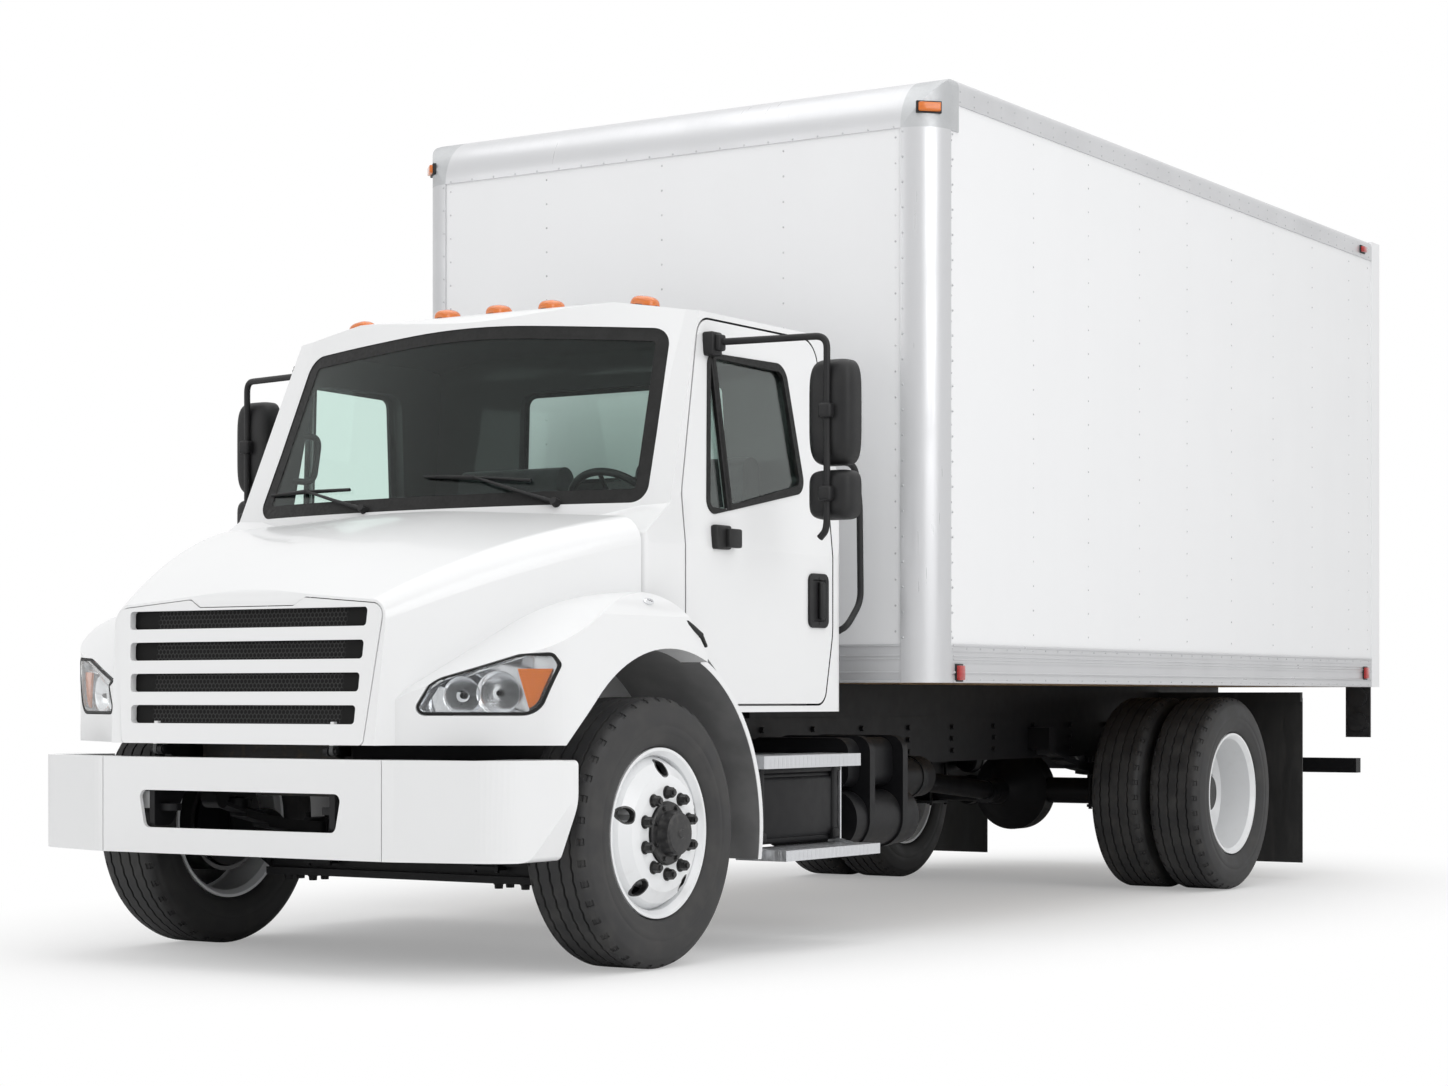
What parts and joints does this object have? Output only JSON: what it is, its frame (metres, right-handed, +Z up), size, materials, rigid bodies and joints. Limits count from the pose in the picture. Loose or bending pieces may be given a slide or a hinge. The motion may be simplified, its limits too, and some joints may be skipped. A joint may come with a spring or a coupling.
{
  "type": "box truck",
  "caption": "Conventional-cab box truck with van body, tilting hood, hinged doors, steered front wheels and rolling wheels.",
  "frame": {"origin": "bottom centre of the bounding box, on the ground, midway between the bumper's face and the van body's rear face", "axes": "+Z up, -Y forward, +X to the driver's (left) side"},
  "size_m": [2.99, 7.747, 3.4399],
  "materials": {
    "tyre": "matte",
    "white_paint": "gloss",
    "wheel_paint": "satin",
    "chassis_black": "satin",
    "steel_dark": "matte",
    "trim_black": "matte",
    "glass": "gloss",
    "aluminium": "brushed",
    "casting": "matte",
    "panel_white": "satin",
    "wood_floor": "matte",
    "seat_fabric": "matte",
    "amber": "gloss",
    "red": "gloss",
    "lamp_clear": "gloss",
    "rubber": "matte"
  },
  "bodies": {
    "chassis": {"frame_rails": "chassis_black", "frame_horns": "chassis_black", "cross_members": "chassis_black", "axles": "chassis_black", "leaf_springs": "chassis_black", "engine_block": "steel_dark", "radiator": "steel_dark", "driveshaft": "chassis_black", "battery_box": "chassis_black", "fuel_tank": "chassis_black", "exhaust_canister": "steel_dark", "cab_steps": "aluminium", "bumper": "white_paint", "cab_shell": "white_paint", "cab_glass": "glass", "cab_mounts": "rubber", "dashboard": "trim_black", "seats": "seat_fabric", "quarter_fenders": "trim_black", "grab_handles": "trim_black", "roof_lamps": "amber", "box_walls": "panel_white", "box_corner_posts": "aluminium", "box_corner_caps": "casting", "box_rails": "aluminium", "box_roof": "aluminium", "box_rear_frame": "white_paint", "roll_up_door": "panel_white", "box_floor": "wood_floor", "box_sills": "chassis_black", "mudflaps": "rubber", "underride_guard": "chassis_black", "tail_lamps": "red"},
    "hood": {"hood_shell": "white_paint", "grille_surround": "white_paint", "grille_mesh": "trim_black", "headlamps": "lamp_clear"},
    "left_door": {"door_left": "white_paint", "door_glass_left": "glass", "mirror_left": "trim_black"},
    "right_door": {"door_right": "white_paint", "door_glass_right": "glass", "mirror_right": "trim_black"},
    "left_knuckle": {"knuckle_left": "chassis_black"},
    "right_knuckle": {"knuckle_right": "chassis_black"},
    "track_rod": {"tie_rod": "chassis_black"},
    "front_left_wheel": {"front_tyre_left": "tyre", "front_rim_left": "wheel_paint"},
    "front_right_wheel": {"front_tyre_right": "tyre", "front_rim_right": "wheel_paint"},
    "rear_left_wheels": {"rear_tyres_left": "tyre", "rear_rims_left": "wheel_paint"},
    "rear_right_wheels": {"rear_tyres_right": "tyre", "rear_rims_right": "wheel_paint"}
  },
  "joints": [
    {"name": "steer_left", "type": "hinge", "parent": "chassis", "child": "left_knuckle", "pos_m": [0.84, -2.9385, 0.476], "axis": [0, 0, 1], "range_deg": [-45, 45]},
    {"name": "steer_right", "type": "hinge", "parent": "chassis", "child": "right_knuckle", "pos_m": [-0.84, -2.9385, 0.476], "axis": [0, 0, 1], "range_deg": [-45, 45]},
    {"name": "track_rod_swing", "type": "hinge", "parent": "left_knuckle", "child": "track_rod", "pos_m": [0.84, -2.7385, 0.369], "axis": [0, 0, 1], "range_deg": [-45, 45]},
    {"name": "front_left_roll", "type": "hinge", "parent": "left_knuckle", "child": "front_left_wheel", "pos_m": [1, -2.9385, 0.476], "axis": [1, 0, 0], "continuous": true},
    {"name": "front_right_roll", "type": "hinge", "parent": "right_knuckle", "child": "front_right_wheel", "pos_m": [-1, -2.9385, 0.476], "axis": [1, 0, 0], "continuous": true},
    {"name": "rear_left_roll", "type": "hinge", "parent": "chassis", "child": "rear_left_wheels", "pos_m": [0.925, 2.0415, 0.476], "axis": [1, 0, 0], "continuous": true},
    {"name": "rear_right_roll", "type": "hinge", "parent": "chassis", "child": "rear_right_wheels", "pos_m": [-0.925, 2.0415, 0.476], "axis": [1, 0, 0], "continuous": true},
    {"name": "hood_tilt", "type": "hinge", "parent": "chassis", "child": "hood", "pos_m": [0, -3.8435, 0.768], "axis": [1, 0, 0], "range_deg": [0, 75]},
    {"name": "left_door_swing", "type": "hinge", "parent": "chassis", "child": "left_door", "pos_m": [1.028, -2.6335, 1.335], "axis": [0, 0, -1], "range_deg": [0, 70]},
    {"name": "right_door_swing", "type": "hinge", "parent": "chassis", "child": "right_door", "pos_m": [-1.028, -2.6335, 1.335], "axis": [0, 0, 1], "range_deg": [0, 70]}
  ],
  "couplings": [
    {"joint": "steer_right", "follows": "steer_left", "ratio": 1},
    {"joint": "track_rod_swing", "follows": "steer_left", "ratio": -1}
  ]
}
